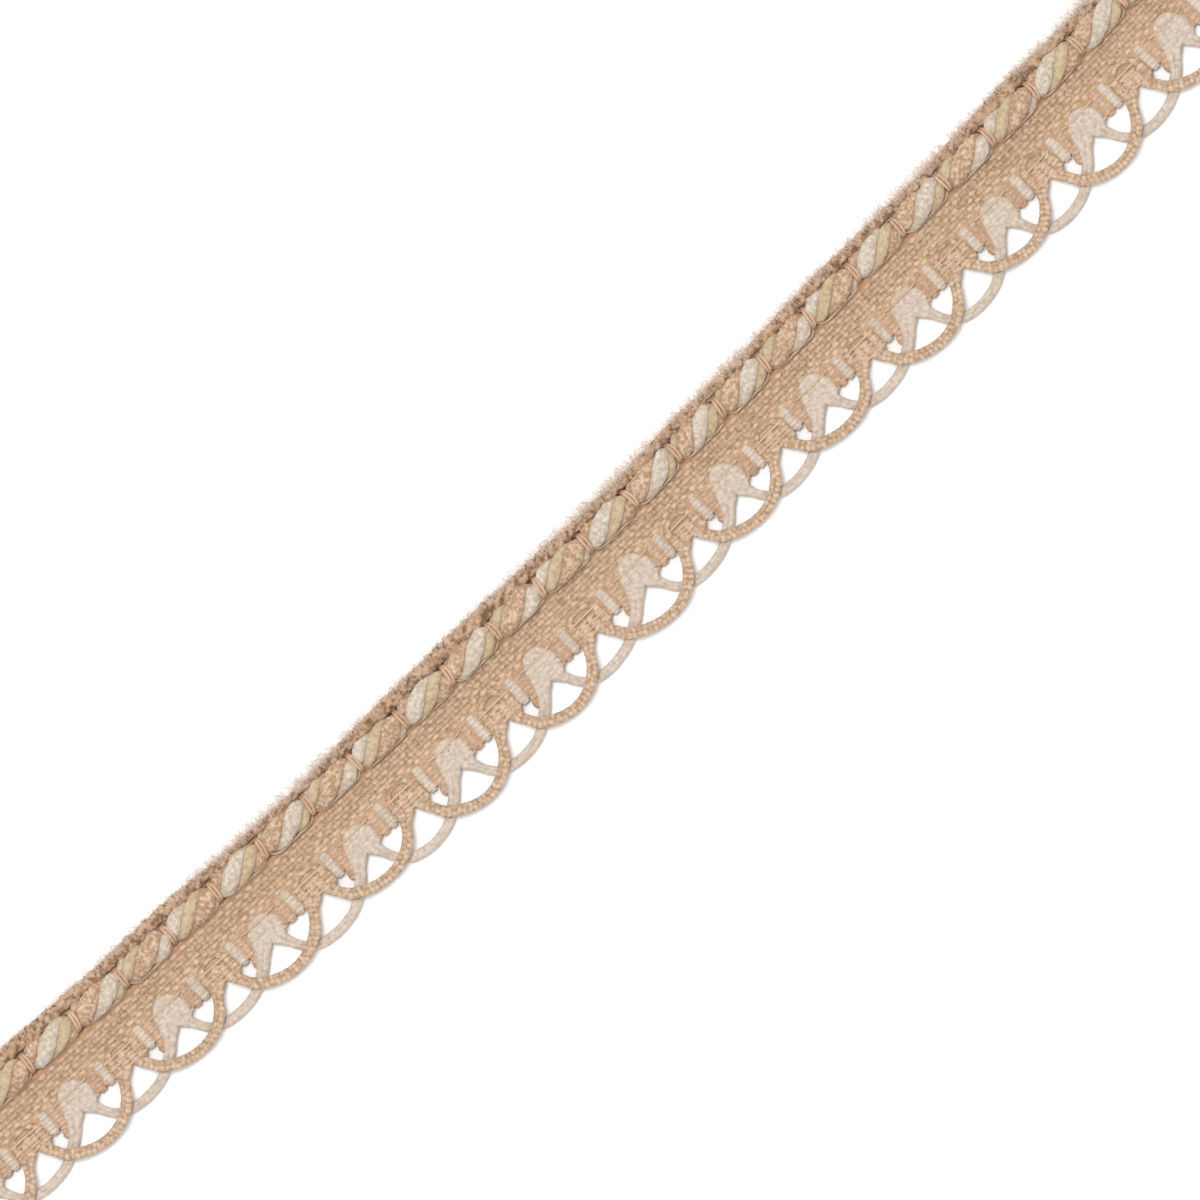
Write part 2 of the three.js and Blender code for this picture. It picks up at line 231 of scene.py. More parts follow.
# One row for each repeat: how far its crown and the tan arch after it stray along, how far the
# band's edge strays, how much shallower than the mean its two scallops hang, and how much taller
# its crown is
LOOPS = [
    {"along": 0.00, "arch": -0.30, "edge": 0.45, "tan": 0.00, "ivory": 0.20, "crown": 0.25},
    {"along": -0.20, "arch": -0.10, "edge": 0.45, "tan": -0.25, "ivory": 0.30, "crown": 0.25},
    {"along": -0.15, "arch": -0.30, "edge": 0.35, "tan": 0.20, "ivory": 0.45, "crown": 0.20},
    {"along": -0.45, "arch": 0.00, "edge": 0.05, "tan": 0.05, "ivory": -0.20, "crown": -0.45},
    {"along": -0.10, "arch": -0.20, "edge": 0.10, "tan": 0.35, "ivory": -0.30, "crown": -0.40},
    {"along": -0.20, "arch": -0.10, "edge": -0.25, "tan": -0.40, "ivory": 0.00, "crown": -0.35},
    {"along": -0.35, "arch": -0.50, "edge": -0.10, "tan": -0.20, "ivory": 0.20, "crown": 0.15},
    {"along": 0.35, "arch": 0.40, "edge": 0.10, "tan": -0.35, "ivory": 0.25, "crown": 0.20},
    {"along": 0.45, "arch": 0.30, "edge": 0.25, "tan": 0.30, "ivory": 0.25, "crown": 0.25},
    {"along": 0.40, "arch": 0.15, "edge": 0.35, "tan": 0.35, "ivory": 0.35, "crown": 0.20},
    {"along": 0.30, "arch": 0.30, "edge": 0.00, "tan": 0.00, "ivory": -0.25, "crown": -0.40},
    {"along": 0.25, "arch": 0.00, "edge": -0.10, "tan": 0.35, "ivory": -0.30, "crown": -0.35},
    {"along": 0.00, "arch": 0.10, "edge": 0.00, "tan": -0.50, "ivory": -0.05, "crown": -0.45},
    {"along": 0.00, "arch": 0.00, "edge": -0.15, "tan": 0.00, "ivory": -0.05, "crown": 0.00},
]

# The cords' ways outside the band, from the crown's middle. apart is half the way from one yarn
# of the pair to the other
TAN_SCALLOP = [
    {"along": -5.80, "out": -0.45, "height": 1.16, "apart": 0.30, "radius": 0.40},
    {"along": -5.40, "out": -1.15, "height": 1.32, "apart": 0.23, "radius": 0.40},
    {"along": -4.75, "out": -2.15, "height": 1.46, "apart": 0.25, "radius": 0.43},
    {"along": -3.30, "out": -3.12, "height": 1.44, "apart": 0.24, "radius": 0.43},
    {"along": -1.60, "out": -3.74, "height": 1.06, "apart": 0.23, "radius": 0.42},
    {"along": 0.00, "out": -3.90, "height": 0.98, "apart": 0.23, "radius": 0.42},
    {"along": 1.50, "out": -3.64, "height": 1.34, "apart": 0.23, "radius": 0.42},
    {"along": 2.85, "out": -3.02, "height": 1.44, "apart": 0.24, "radius": 0.43},
    {"along": 3.98, "out": -2.12, "height": 1.42, "apart": 0.25, "radius": 0.43},
    {"along": 4.66, "out": -1.20, "height": 1.32, "apart": 0.23, "radius": 0.40},
    {"along": 5.10, "out": -0.45, "height": 1.16, "apart": 0.30, "radius": 0.40},
]
IVORY_SCALLOP = [
    {"along": 0.78, "out": -0.40, "height": 0.76, "apart": 0.32, "radius": 0.44},
    {"along": 1.12, "out": -1.15, "height": 0.62, "apart": 0.23, "radius": 0.35},
    {"along": 1.58, "out": -2.10, "height": 0.46, "apart": 0.20, "radius": 0.34},
    {"along": 2.30, "out": -3.00, "height": 0.44, "apart": 0.20, "radius": 0.36},
    {"along": 3.45, "out": -3.62, "height": 0.44, "apart": 0.20, "radius": 0.38},
    {"along": 5.40, "out": -3.90, "height": 0.44, "apart": 0.20, "radius": 0.38},
    {"along": 7.30, "out": -3.70, "height": 0.44, "apart": 0.20, "radius": 0.38},
    {"along": 8.55, "out": -3.30, "height": 0.44, "apart": 0.21, "radius": 0.38},
    {"along": 9.72, "out": -2.60, "height": 0.48, "apart": 0.26, "radius": 0.41},
    {"along": 11.04, "out": -1.55, "height": 0.56, "apart": 0.26, "radius": 0.42},
    {"along": 11.90, "out": -0.45, "height": 0.72, "apart": 0.34, "radius": 0.48},
]

# Full turns of the heading cord's twist
TWIST = [
    {"along": -97.0, "turns": -10.47},
    {"along": -2.1, "turns": 0},
    {"along": 17.3, "turns": 2},
    {"along": 23.2, "turns": 3},
    {"along": 30.6, "turns": 4},
    {"along": 85.6, "turns": 10},
    {"along": 97.0, "turns": 11.25},
]

# How far the heading cord strays from its middle line
HEADING_STRAY = [
    {"along": -97.0, "stray": 0.10},
    {"along": -70.0, "stray": 0.10},
    {"along": -33.0, "stray": 0.00},
    {"along": -27.0, "stray": -0.20},
    {"along": 12.0, "stray": -0.30},
    {"along": 19.0, "stray": -0.05},
    {"along": 57.0, "stray": 0.00},
    {"along": 69.0, "stray": -0.20},
    {"along": 97.0, "stray": -0.15},
]

# The edge cord's outside
EDGE_OUTSIDE = [
    {"along": -97.0, "outside": 8.0},
    {"along": -77.0, "outside": 8.2},
    {"along": -66.0, "outside": 7.8},
    {"along": -55.0, "outside": 8.0},
    {"along": -48.0, "outside": 7.5},
    {"along": -35.0, "outside": 7.2},
    {"along": -27.0, "outside": 7.7},
    {"along": -14.0, "outside": 7.9},
    {"along": -5.0, "outside": 7.7},
    {"along": 11.0, "outside": 7.2},
    {"along": 22.0, "outside": 7.6},
    {"along": 32.0, "outside": 7.4},
    {"along": 43.0, "outside": 7.8},
    {"along": 59.0, "outside": 7.3},
    {"along": 73.0, "outside": 7.8},
    {"along": 82.0, "outside": 7.3},
    {"along": 97.0, "outside": 7.6},
]

# Loose fibre stands off the edge cord up to here. further is how much more of it there is, and
# how much longer it is, for each millimetre that the cord lies further in
FIBRE_OUTSIDE = 8.05
FIBRES = 8000
FIBRE_RADIUS = 0.026
FIBRE_POINTS = 3
FIBRE_FREE_ENDS = 1
FIBRE_SHARE = 0.25
FIBRE_SHARE_FURTHER = 0.7
FIBRE_REACH = 0.35
FIBRE_REACH_FURTHER = 0.9
FIBRE_ROOT = (0.2, 0.8)
FIBRE_START = (0.3, 0.7)
FIBRE_FALL = (0.0, 0.6)
FIBRE_LEAN = (-0.7, 0.7)
FIBRE_CURL = (-0.4, 0.4)
FIBRE_BEND = 1.8

CROWNS = np.array([(n + 0.5 - REPEATS / 2) * REPEAT for n in range(REPEATS)])
CROWNS_AND_ARCHES = np.column_stack([CROWNS, CROWNS + REPEAT / 2]).ravel()


# Places on the trim


def column(rows, name):
    return np.array([row[name] for row in rows])


def read_along(rows, name, along):
    return np.interp(along, column(rows, "along"), column(rows, name))


def place(along, across, height):
    """Points of the gently bowed trim, for arrays of places along, across and up."""
    along, across, height = np.broadcast_arrays(along, across, height)
    slope = along / BOW_RADIUS
    return np.stack([along - across * slope, across + along * slope / 2, height], axis=-1)


def shift_at(along):
    strays = np.column_stack([column(LOOPS, "along"), column(LOOPS, "arch")]).ravel()
    return np.interp(along, CROWNS_AND_ARCHES, strays)


def edge_at(along):
    return BAND_EDGE + np.interp(along, CROWNS, column(LOOPS, "edge"))


def across_at(along, out):
    """The place across for a place out from the band's edge. The band keeps its other side."""
    edge = edge_at(along)
    scale = np.where(out > 0, (ZONE_EDGE - edge) / (ZONE_EDGE - BAND_EDGE), 1)
    return edge + out * scale


def out_at(along, across):
    edge = edge_at(along)
    return (across - edge) * (ZONE_EDGE - BAND_EDGE) / (ZONE_EDGE - edge)


def heading_at(along):
    return HEADING_MIDDLE + read_along(HEADING_STRAY, "stray", along)


def tied_share(along):
    """1 under a tie, falling to 0 between two of them."""
    nearest = TIE_OFFSET + np.round((along - TIE_OFFSET) / TIE_PITCH) * TIE_PITCH
    return np.exp(-(((along - nearest) / TIE_REACH) ** 2))


def mix(a, b, share):
    return a + (b - a) * share


def unit(vectors):
    return vectors / np.maximum(np.linalg.norm(vectors, axis=-1, keepdims=True), 1e-9)


def steps_along(step):
    return np.linspace(-LENGTH / 2, LENGTH / 2, int(LENGTH / step) + 1)


def uneven(random, along, step, amount):
    """A factor near 1 that wanders along a yarn, with a new value every step."""
    knots = np.arange(along.min(), along.max() + 2 * step, step)
    return 1 + amount * np.interp(along, knots, random.uniform(-1, 1, len(knots)))


def wander(places, amount, waves, phase):
    """A slow wave that takes a yarn off its straight line."""
    return amount * np.sin(places * waves + phase)


def smooth(points, step, samples=12):
    """A Catmull-Rom curve through points, resampled at even steps. Further columns go with it."""
    padded = np.vstack([2 * points[0] - points[1], points, 2 * points[-1] - points[-2]])
    t = np.linspace(0, 1, samples, endpoint=False)[:, None]
    spans = []
    for a, b, c, d in zip(padded, padded[1:], padded[2:], padded[3:]):
        curve = (2 * a - 5 * b + 4 * c - d) * t**2 + (3 * b - a - 3 * c + d) * t**3
        spans.append((2 * b + (c - a) * t + curve) / 2)
    dense = np.vstack([*spans, points[-1:]])
    travelled = lengths_along(dense[:, :3])
    even = np.linspace(0, travelled[-1], max(int(travelled[-1] / step), 3))
    return np.stack([np.interp(even, travelled, c) for c in dense.T], axis=1)


# Yarn meshes


def lengths_along(middles):
    lengths = np.linalg.norm(np.diff(middles, axis=0), axis=1)
    return np.concatenate([[0], np.cumsum(lengths)])


class Yarns:
    """Tubes joined in one mesh. Its UV map holds millimetres along a yarn and turns round it,
    counted from the yarn's first ply."""

    def __init__(self, seed):
        self.random = np.random.default_rng(seed)
        self.points = []
        self.faces = []
        self.uvs = []
        self.shades = []
        self.painted_light_shares = []
        self.count = 0

    def add(
        self, middles, half_width, half_height,
        sides=6, ply=None, painted_light_share=1.0, side_shade=0.0, rough=0.0,
    ):
        """A yarn along its middle line. ply is (lobes, groove depth, lay length, start turn),
        painted_light_share is its share of lit colour against painted shade, 0 deep in the weave
        and 1 where it lies free, side_shade is how much painted shade its two sides get, and rough
        is how uneven its surface is, as a share of its size. Its ply grooves get painted shade
        too."""
        rings = len(middles)
        travelled = lengths_along(middles)
        lobes, groove, lay, start = ply or (1, 0.0, math.inf, 0.0)
        twist = travelled / lay + start
        angles = np.arange(sides) / sides * 2 * np.pi
        turned = angles - 2 * np.pi * twist[:, None]
        shape = 1 - groove * (1 - np.abs(np.cos(lobes / 2 * turned)))
        bumps = shape * (1 + rough * self.random.uniform(-1, 1, (rings, sides)))
        tangents = unit(np.gradient(middles, axis=0))
        rights = unit(np.cross(tangents, UP))
        ups = np.cross(rights, tangents)
        wide = np.broadcast_to(half_width, rings)[:, None] * np.sin(angles) * bumps
        high = np.broadcast_to(half_height, rings)[:, None] * np.cos(angles) * bumps
        corners = middles[:, None] + wide[..., None] * rights[:, None]
        corners = corners + high[..., None] * ups[:, None]
        # Painted shade: darker in the ply grooves, on the two sides, and where the yarn lies deep
        shade = np.broadcast_to(side_shade, rings)[:, None] * np.sin(angles) ** 4
        painted_light_share = np.broadcast_to(painted_light_share, rings)[:, None] * shape * (1 - shade)
        self.add_rings(corners, travelled, twist, painted_light_share)

    def add_rings(self, corners, travelled, twist, painted_light_share):
        """A closed tube through rings of corners, with how far it has turned at each ring."""
        rings, sides = corners.shape[:2]
        i = np.repeat(np.arange(rings - 1), sides)
        j = np.tile(np.arange(sides), rings - 1)
        after = (j + 1) % sides
        walls = np.stack([i * sides + j, i * sides + after], axis=1)
        walls = np.hstack([walls, walls[:, ::-1] + sides])
        along = np.stack([travelled[i], travelled[i], travelled[i + 1], travelled[i + 1]], axis=1)
        around = np.stack([j, j + 1, j + 1, j], axis=1) / sides
        around = around - np.stack([twist[i], twist[i], twist[i + 1], twist[i + 1]], axis=1)
        fan = np.array([[0, k + 1, k + 2, k + 3] for k in range(0, sides - 2, 2)])
        caps = np.vstack([fan[:, ::-1], fan + (rings - 1) * sides])
        self.faces.append(np.vstack([walls, caps]) + self.count)
        self.uvs.append(np.stack([along, around], axis=-1).reshape(-1, 2))
        self.uvs.append(np.zeros((len(caps) * 4, 2)))
        self.points.append(corners.reshape(-1, 3))
        self.shades.append(np.full(rings * sides, self.random.uniform()))
        self.painted_light_shares.append(painted_light_share.ravel())
        self.count += rings * sides

    def build(self, name, finish, nodes=()):
        mesh = bpy.data.meshes.new(name)
        mesh.from_pydata(np.vstack(self.points) * MM, [], np.vstack(self.faces).tolist())
        mesh.polygons.foreach_set("use_smooth", np.ones(len(mesh.polygons), bool))
        uv = mesh.uv_layers.new(name="yarn")
        uv.data.foreach_set("uv", np.vstack(self.uvs).astype(np.float32).ravel())
        set_attribute(mesh, "shade", np.concatenate(self.shades))
        set_attribute(mesh, "painted_light", np.concatenate(self.painted_light_shares))
        mesh.materials.append(finish)
        mesh.update()
        return own(bpy.data.objects.new(name, mesh), nodes)


def set_attribute(mesh, label, values):
    attribute = mesh.attributes.new(label, "FLOAT", "POINT")
    attribute.data.foreach_set("value", values.astype(np.float32))


def own(piece, nodes):
    bpy.context.scene.collection.objects.link(piece)
    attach(piece, "root")
    if nodes:
        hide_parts(*nodes)
    return piece


# Materials


def srgb(red, green, blue):
    """A display colour of 0 to 255 as linear light."""
    values = np.array([red, green, blue]) / 255
    linear = np.where(values <= 0.04045, values / 12.92, ((values + 0.055) / 1.055) ** 2.4)
    return (*linear, 1.0)


class Nodes:
    """Short calls for the nodes of one material."""

    def __init__(self, name):
        self.material = bpy.data.materials.new(name)
        self.material.use_nodes = True
        self.tree = self.material.node_tree
        self.shader = self.tree.nodes["Principled BSDF"]

    def new(self, kind, inputs=None, **settings):
        node = self.tree.nodes.new(kind)
        for key, value in settings.items():
            setattr(node, key, value)
        for key, value in (inputs or {}).items():
            self.put(node.inputs[key], value)
        return node

    def put(self, socket, value):
        if isinstance(value, bpy.types.NodeSocket):
            self.tree.links.new(value, socket)
        else:
            socket.default_value = value

    def math(self, operation, *values):
        node = self.new("ShaderNodeMath", operation=operation)
        for socket, value in zip(node.inputs, values):
            self.put(socket, value)
        return node.outputs[0]

    def attribute(self, name):
        return self.new("ShaderNodeAttribute", attribute_name=name).outputs["Fac"]

    def noise(self, scale, detail=1.0):
        place_node = self.new("ShaderNodeTexCoord")
        inputs = {"Vector": place_node.outputs["Object"], "Scale": scale, "Detail": detail}
        return self.new("ShaderNodeTexNoise", inputs).outputs["Fac"]

    def ramp(self, factor, stops):
        node = self.new("ShaderNodeValToRGB", {"Fac": factor})
        elements = node.color_ramp.elements
        while len(elements) < len(stops):
            elements.new(0.5)
        for element, (position, color) in zip(elements, stops):
            element.position = position
            element.color = color
        return node.outputs["Color"]

    def blend(self, factor, a, b):
        node = self.new("ShaderNodeMix", data_type="RGBA")
        self.put(node.inputs["Factor"], factor)
        self.put(node.inputs["A"], a)
        self.put(node.inputs["B"], b)
        return node.outputs["Result"]


BLACK = (0, 0, 0, 1)
WHITE = (1, 1, 1, 1)


def yarn_finish(
    name, painted_shade, dark, light, fleck,
    flecked=0.4, plies=0.0, mottle=420.0, contrast=0.9, rough=0.85, sheen=0.3,
    rib=(1.2, 1.0), bump=0.00005, grain=2600.0,
):
    """A matt yarn: painted shade by depth, colours by strand and ply, flecks, and twisted fibre as
    bump.

    plies is how much lighter every second ply is, and rib is (ridges for each millimetre along,
    ridges round the yarn)."""
    nodes = Nodes(name)
    uv = nodes.new("ShaderNodeUVMap", uv_map="yarn").outputs["UV"]
    parts = nodes.new("ShaderNodeSeparateXYZ", {"Vector": uv})
    ply = nodes.math("COSINE", nodes.math("MULTIPLY", parts.outputs["Y"], 2 * math.pi))
    fine = nodes.noise(grain, 2.0)
    tone = nodes.math("MULTIPLY_ADD", nodes.noise(mottle), contrast, 0.35 - contrast / 2)
    tone = nodes.math("MULTIPLY_ADD", nodes.attribute("shade"), 0.3, tone)
    tone = nodes.math("MULTIPLY_ADD", ply, plies, tone)
    base = nodes.ramp(tone, [(0.2, dark), (0.8, light)])
    spots = nodes.ramp(fine, [(0.5, BLACK), (0.66, WHITE)])
    base = nodes.blend(nodes.math("MULTIPLY", spots, flecked), base, fleck)
    # Painted shade: the first colour is blended in where the mesh's lit share is low, deep in the
    # weave, in grooves and on sides
    painted_shade_share = nodes.ramp(nodes.attribute("painted_light"), [(0.3, WHITE), (0.95, BLACK)])
    base = nodes.blend(painted_shade_share, base, painted_shade)
    nodes.put(nodes.shader.inputs["Base Color"], base)
    along, around = rib
    turns = nodes.math("MULTIPLY", parts.outputs["X"], along)
    turns = nodes.math("MULTIPLY_ADD", parts.outputs["Y"], around, turns)
    ridges = nodes.math("SINE", nodes.math("MULTIPLY", turns, 2 * math.pi))
    height = nodes.math("MULTIPLY_ADD", ridges, 0.5, nodes.math("MULTIPLY", fine, 1.2))
    relief = nodes.new("ShaderNodeBump", {"Strength": 0.8, "Distance": bump, "Height": height})
    nodes.put(nodes.shader.inputs["Normal"], relief.outputs["Normal"])
    nodes.shader.inputs["Roughness"].default_value = rough
    nodes.shader.inputs["Sheen Weight"].default_value = sheen
    nodes.shader.inputs["Sheen Roughness"].default_value = 0.5
    nodes.shader.inputs["Specular IOR Level"].default_value = 0.2
    return nodes.material


def ground_core_finish():
    """The inside of the weave, with a warmer painted shade colour where the straight cords cover
    it.
    """
    nodes = Nodes("ground core")
    grain = nodes.noise(1500.0, 3.0)
    cord_shade_tint = nodes.ramp(grain, [(0.3, srgb(196, 144, 102)), (0.7, srgb(220, 170, 126))])
    seen = nodes.ramp(grain, [(0.3, srgb(172, 138, 108)), (0.7, srgb(198, 166, 136))])
    base = nodes.blend(nodes.attribute("painted_light"), cord_shade_tint, seen)
    nodes.put(nodes.shader.inputs["Base Color"], base)
    relief = nodes.new("ShaderNodeBump", {"Strength": 0.7, "Distance": 0.0001, "Height": grain})
    nodes.put(nodes.shader.inputs["Normal"], relief.outputs["Normal"])
    nodes.shader.inputs["Roughness"].default_value = 0.95
    return nodes.material


def plain_finish(name, color, rough):
    nodes = Nodes(name)
    grain = nodes.noise(30.0)
    paler = tuple(min(1.0, c * 1.03) for c in color[:3]) + (1.0,)
    nodes.put(nodes.shader.inputs["Base Color"], nodes.blend(grain, color, paler))
    nodes.shader.inputs["Roughness"].default_value = rough
    return nodes.material


# Woven ground


def row_across(row):
    """Middle of a warp row of the upper zone, counted from the heading cord's side."""
    return CHANNEL_EDGE - (row + 0.5) * WARP_PITCH


def from_crown(along):
    """How far a place along is from the nearest crown's middle."""
    return (along - shift_at(along)) % REPEAT - REPEAT / 2


def closed_net(rows, columns):
    """Faces of a closed sheet: a net of squares, the same net below it, and a rim between."""
    index = np.arange(rows * columns).reshape(rows, columns)
    corners = [index[:-1, :-1], index[1:, :-1], index[1:, 1:], index[:-1, 1:]]
    top = np.stack([c.ravel() for c in corners], axis=1)
    rim = np.concatenate([index[0], index[1:, -1], index[-1, -2::-1], index[-2:0:-1, 0]])
    after = np.roll(rim, -1)
    walls = np.stack([rim, after, after + index.size, rim + index.size], axis=1)
    return np.vstack([top, top[:, ::-1] + index.size, walls])


def ground_core(finish):
    """The closed sheet inside the weave. It rises along both sides of the heading cord."""
    along = steps_along(CORE_STEP)
    inset = edge_at(along)[:, None] + CORE_INSET
    lower = inset + (ZONE_EDGE - inset) * np.linspace(0, 1, LOWER_SQUARES + 1)
    upper = np.linspace(ZONE_EDGE, CHANNEL_EDGE, UPPER_SQUARES + 1)[1:]
    outside = np.minimum(edge_outside(along) - EDGE_CORD_OVER, GROUND_OUTSIDE)[:, None]
    shares = np.linspace(0, 1, CHANNEL_SQUARES + 1)[1:]
    channel = CHANNEL_EDGE + (outside - CHANNEL_EDGE) * shares
    sides = np.hstack([lower, np.broadcast_to(upper, (len(along), len(upper))), channel])
    places = np.repeat(along[:, None], sides.shape[1], axis=1)
    in_channel = sides > CHANNEL_EDGE + EDGE_TOLERANCE
    weave = np.cos(np.pi * places / WEFT_PITCH) * np.cos(np.pi * sides / WARP_PITCH)
    high = np.where(sides > CHANNEL_EDGE - EDGE_TOLERANCE, CHANNEL_TOP, CORE_HIGH)
    high = np.where(out_at(places, sides) < COLUMN_TOP, LOWER_CORE_HIGH, high)
    to_edge_cord = sides - OUTER_RIDGE_AT
    high = high + OUTER_RIDGE * np.exp(-((to_edge_cord / RIDGE_REACH) ** 2))
    to_weave = sides - CHANNEL_EDGE - RIDGE_REACH
    high = high + INNER_RIDGE * np.exp(-((to_weave / RIDGE_REACH) ** 2))
    low = np.where(in_channel, CHANNEL_LOW + CORE_RELIEF * weave, CORE_LOW)
    points = np.vstack([
        place(places, sides, high).reshape(-1, 3),
        place(places, sides, low).reshape(-1, 3),
    ])
    mesh = bpy.data.meshes.new("woven_ground")
    mesh.from_pydata(points * MM, [], closed_net(*sides.shape).tolist())
    # Painted shade colour: the share hidden by the straight cords, most under a tie, takes the
    # core's warmer shade colour
    cord_shade_tint = in_channel * mix(COVERED_BETWEEN_TIES, 1, tied_share(places))
    set_attribute(mesh, "painted_light", np.append(1 - cord_shade_tint.ravel(), np.ones(cord_shade_tint.size)))
    mesh.materials.append(finish)
    mesh.update()
    return own(bpy.data.objects.new("woven_ground", mesh), ["ground_band"])


def upper_weave(warp_finish, weft_finish):
    """Warps and wefts of the plain weave. The wefts stand unevenly, and the warps follow them."""
    random = np.random.default_rng(1)
    picks = np.arange(-WEFTS // 2, WEFTS // 2 + 1)
    at = picks * WEFT_PITCH + random.uniform(-1, 1, len(picks)) * WEFT_STRAY
    at[[0, -1]] = -LENGTH / 2, LENGTH / 2
    warps = Yarns(1)
    along = steps_along(WEFT_PITCH / WARP_STEPS_PER_WEFT)
    pick = np.interp(along, at, picks)
    for row in range(WARP_ROWS):
        wave = np.cos(np.pi * (pick + row))
        loose = uneven(random, along, WEFT_PITCH, WEAVE_LOOSE)
        stray = wander(along, WARP_WANDER, 0.31, row * 2.1) + WARP_SIDEWAYS * (loose - 1)
        width = WARP_HALF_WIDTH * (0.96 + 0.08 * wave)
        width = width * uneven(random, along, 0.9, WEAVE_WIDTH_STRAY)
        middles = place(along, row_across(row) + stray, WEAVE_MIDDLE + WARP_SWING * wave * loose)
        # Painted shade where the warp dips under the wefts
        warps.add(middles, width, WARP_HALF_HEIGHT, painted_light_share=0.86 + 0.14 * wave * loose)
    wefts = Yarns(2)
    rows = np.arange(WEFT_FIRST_ROW, WEFT_LAST_ROW, WEFT_ROW_STEP)
    for pick, middle in zip(picks[1:-1], at[1:-1]):
        wave = -np.cos(np.pi * (pick + rows))
        lean = random.uniform(-WEFT_LEAN, WEFT_LEAN) * rows
        stray = wander(rows, WEFT_WANDER, 1.3, pick * 2.4) + lean
        loose = uneven(random, rows, 1.0, WEAVE_LOOSE)
        height = WEAVE_MIDDLE - WEFT_DROP + WEFT_SWING * wave * loose
        width = WEFT_HALF_WIDTH * uneven(random, rows, 1.0, WEAVE_WIDTH_STRAY)
        middles = place(middle + stray, row_across(rows), height)
        # Painted shade where the weft dips under the warps
        wefts.add(middles, width, WEFT_HALF_HEIGHT, painted_light_share=0.8 + 0.2 * wave)
    return [
        warps.build("upper_warps", warp_finish),
        wefts.build("upper_wefts", weft_finish),
    ]


def lower_warps(finish):
    """The thin warps. They pass over the tan arches, every second one under their legs, and over
    the edges of the crowns. One ties each crown down."""
    yarns = Yarns(3)
    along = steps_along(COLUMN_PITCH / THIN_STEPS_PER_COLUMN)
    crown = np.abs(from_crown(along))
    arch = REPEAT / 2 - crown
    for row in range(THIN_ROWS):
        out = (row + 0.5) * THIN_PITCH
        tied = row == CROWN_TIE_ROW
        over_arch = arch < (TAN_ARCH_LEGS if row % 2 else TAN_ARCH_REACH)
        over = np.where(over_arch & (not tied), TAN_ARCH_OVER, THIN_UNDER)
        edge = CROWN_EDGE - CROWN_EDGE_NARROWS * max(row - CROWN_EDGE_FULL_ROWS, 0)
        teeth = CROWN_EDGE_TEETH * uneven(yarns.random, along, CROWN_EDGE, 0.6)
        over = np.where((crown > edge - teeth) & (crown < edge), TAN_ARCH_OVER, over)
        over = np.where((crown < CROWN_REACH) & tied, CROWN_TIE_OVER, over)
        stray = wander(along, THIN_WANDER, 0.43, row * 1.7)
        stray = stray - tied * CROWN_TIE_DROP * np.exp(-((crown / CROWN_REACH) ** 4))
        across = across_at(along, out + stray)
        middles = place(along, across, THIN_MIDDLE + THIN_SWING * over)
        # Painted shade where the thin warp passes under
        yarns.add(middles, THIN_HALF_WIDTH, THIN_HALF_HEIGHT, painted_light_share=0.85 + 0.15 * over)
    return yarns.build("lower_warps", finish)


def pressed(along, across):
    """-1 where a thin warp crosses at this place, to 1 halfway between two."""
    return np.cos(2 * np.pi * out_at(along, across) / THIN_PITCH)


def weft_columns(name, finish, offset, tail, seed):
    """The straight weft columns of the ground beside each crown and each tan arch. tail is how
    far the one before a crown goes on beside the loop's leg."""
    yarns = Yarns(seed)
    for crown in CROWNS:
        for side in (-1, 1):
            foot = COLUMN_FOOT - tail * (side < 0)
            rings = int((COLUMN_HEAD - foot) * COLUMN_RINGS_PER_MM)
            out = np.linspace(foot, COLUMN_HEAD, rings)
            from_end = np.minimum(out - foot, COLUMN_HEAD - out)
            ends = np.clip(from_end / COLUMN_TAPER, COLUMN_END_SIZE, 1) ** 0.5
            nominal = crown + side * offset * COLUMN_PITCH
            along = nominal + float(shift_at(nominal)) + wander(out, COLUMN_WANDER, 0.8, crown)
            along = along + TAIL_LEAN * np.minimum(out, 0)
            across = across_at(along, out)
            swell = pressed(along, across)
            height = COLUMN_MIDDLE + COLUMN_SWING * swell + TAIL_FALL * np.minimum(out, 0)
            middles = place(along, across, height)
            size = (0.95 + 0.05 * swell) * ends
            yarns.add(
                middles,
                COLUMN_HALF_WIDTH * size * yarns.random.uniform(0.92, 1.02),
                COLUMN_HALF_HEIGHT * size,
                sides=8,
                ply=(2, 0.05, 1.3, 0.0),
                # Painted shade where a thin warp presses the column in
                painted_light_share=0.86 + 0.14 * swell,
                rough=0.02,
            )
    return yarns.build(name, finish)


